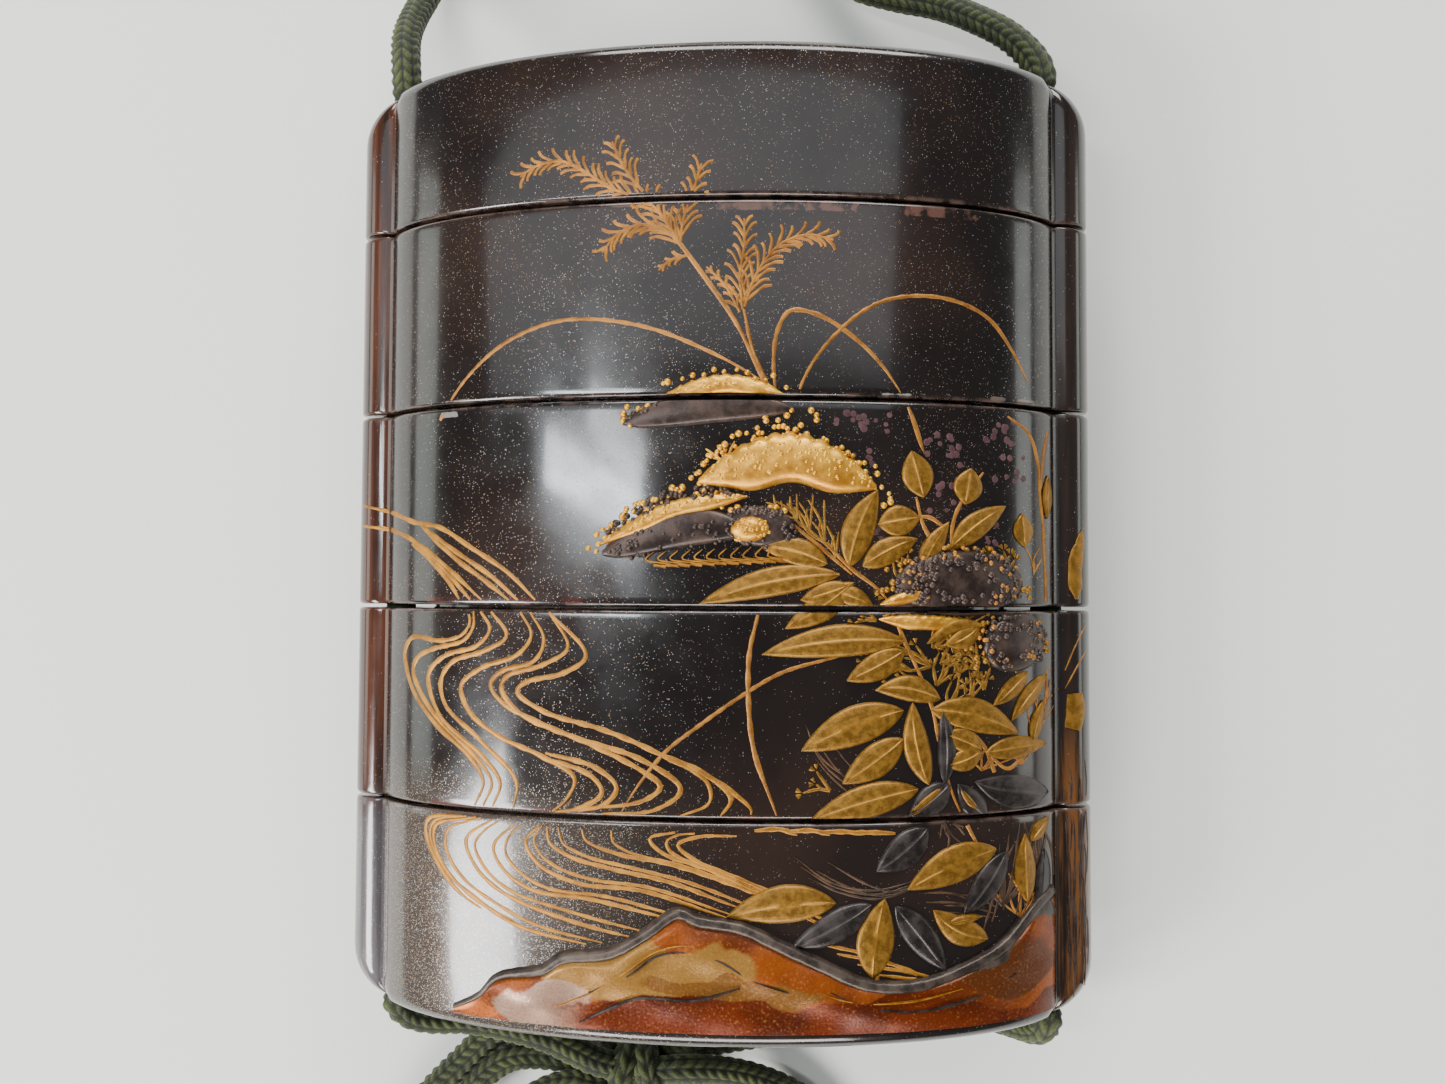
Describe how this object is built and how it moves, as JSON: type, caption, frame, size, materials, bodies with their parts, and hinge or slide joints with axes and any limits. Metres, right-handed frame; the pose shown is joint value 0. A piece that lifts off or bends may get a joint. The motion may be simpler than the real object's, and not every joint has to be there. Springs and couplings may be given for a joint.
{
  "type": "inro case",
  "caption": "Tiered oval lacquer case with a lid, raised grasses, leaves and rocks by a stream on its front, and a braided cord tied in a bow.",
  "frame": {"origin": "on the surface that the back rests on, under the middle of the case", "axes": "+X across the case, +Y from the base to the lid, +Z out of the decorated front"},
  "size_m": [0.0617, 0.1916, 0.023],
  "materials": {
    "lacquer": "glossy brown-black lacquer on thin wood, sprinkled with fine gold and silver flecks",
    "gold_ornament": "gold powder in lacquer, raised and polished",
    "dark_ornament": "tarnished silver powder in lacquer, raised",
    "cord": "olive-green braided silk"
  },
  "bodies": {
    "root": {"lid": "lacquer", "case_1": "lacquer", "case_2": "lacquer", "case_3": "lacquer", "base_case": "lacquer", "cord_run_left": "cord", "cord_run_right": "cord", "cord_top_loop": "cord", "cord_strand_left": "cord", "cord_strand_right": "cord", "bow_loop_left": "cord", "bow_loop_right": "cord", "bow_end_left": "cord", "bow_end_right": "cord", "bow_knot": "cord"}
  },
  "joints": []
}
